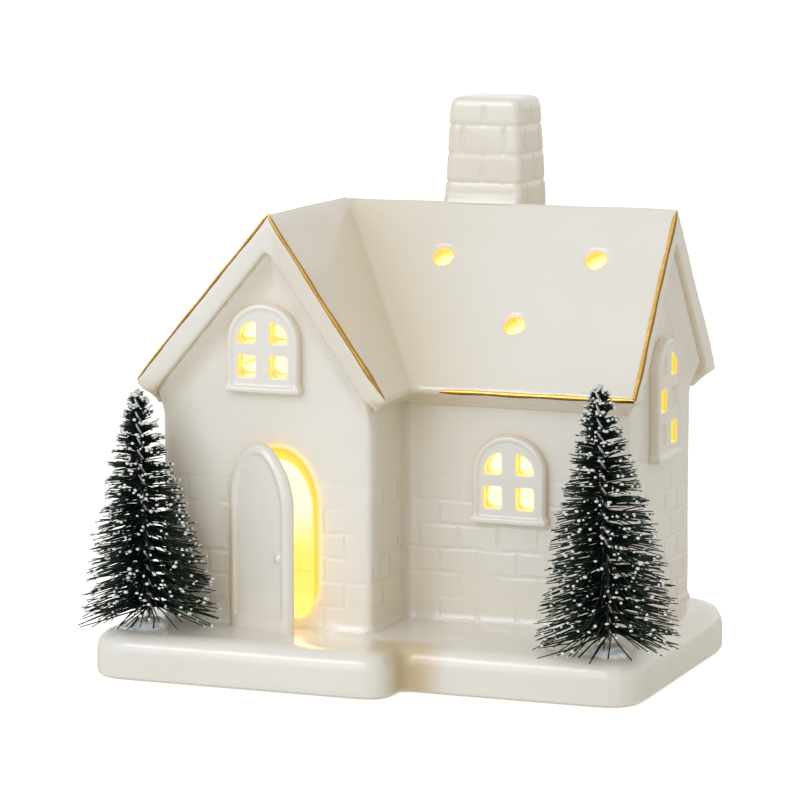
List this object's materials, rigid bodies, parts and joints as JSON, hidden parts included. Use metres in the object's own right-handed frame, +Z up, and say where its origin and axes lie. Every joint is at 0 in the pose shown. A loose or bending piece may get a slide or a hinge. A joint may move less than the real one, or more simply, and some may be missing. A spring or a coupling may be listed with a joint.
{
  "type": "lit ceramic house ornament",
  "caption": "Slip-cast glazed ceramic cottage on a low plinth with bottle-brush trees, gold edge lines and a plug-in battery light under its base",
  "frame": {"origin": "middle of the box's underside, on the surface the plinth stands on", "axes": "+X along the street front from the gabled wing to the long wing's end, +Y to the back, +Z up; the doorway faces -Y"},
  "size_m": [0.1442, 0.107, 0.136],
  "materials": {
    "glaze": "glossy warm white glaze",
    "gold": "bright gold lustre",
    "snow": "matte white flocked glue",
    "tree_wire": "bare twisted wire",
    "bristles": "dark green stiff bristle",
    "white_plastic": "moulded, satin",
    "gasket": "translucent white silicone",
    "steel": "nickel plated",
    "board": "green solder mask",
    "lamp_lens": "clear warm lens",
    "black_plastic": "moulded, satin"
  },
  "bodies": {
    "house": {"plinth": "glaze", "house_walls": "glaze", "roof": "glaze", "chimney": "glaze", "gable_window_surround": "glaze", "front_window_surround": "glaze", "side_window_surround": "glaze", "door_leaf": "glaze", "gold_line_wing_rakes": "gold", "gold_line_main_rake": "gold", "gold_line_main_eave": "gold", "left_tree_mound": "snow", "left_tree_wire": "tree_wire", "left_tree_bristles": "bristles", "right_tree_mound": "snow", "right_tree_wire": "tree_wire", "right_tree_bristles": "bristles"},
    "light_module": {"module_housing": "white_plastic", "module_gasket": "gasket", "coin_cell": "steel", "contact_leaf": "steel", "contact_clip": "steel", "circuit_board": "board", "led_lamp": "lamp_lens", "switch_case": "black_plastic"},
    "battery_door": {"battery_door": "white_plastic", "battery_door_screw": "steel"},
    "switch_slider": {"switch_slider": "black_plastic"}
  },
  "joints": [
    {"name": "light_module_draw", "type": "slide", "parent": "house", "child": "light_module", "axis": [0, 0, -1], "range_m": [0, 0.03]},
    {"name": "battery_door_lift", "type": "slide", "parent": "light_module", "child": "battery_door", "axis": [0, 0, -1], "range_m": [0, 0.012]},
    {"name": "switch_slide", "type": "slide", "parent": "light_module", "child": "switch_slider", "axis": [0, 1, 0], "range_m": [0, 0.0025]}
  ]
}
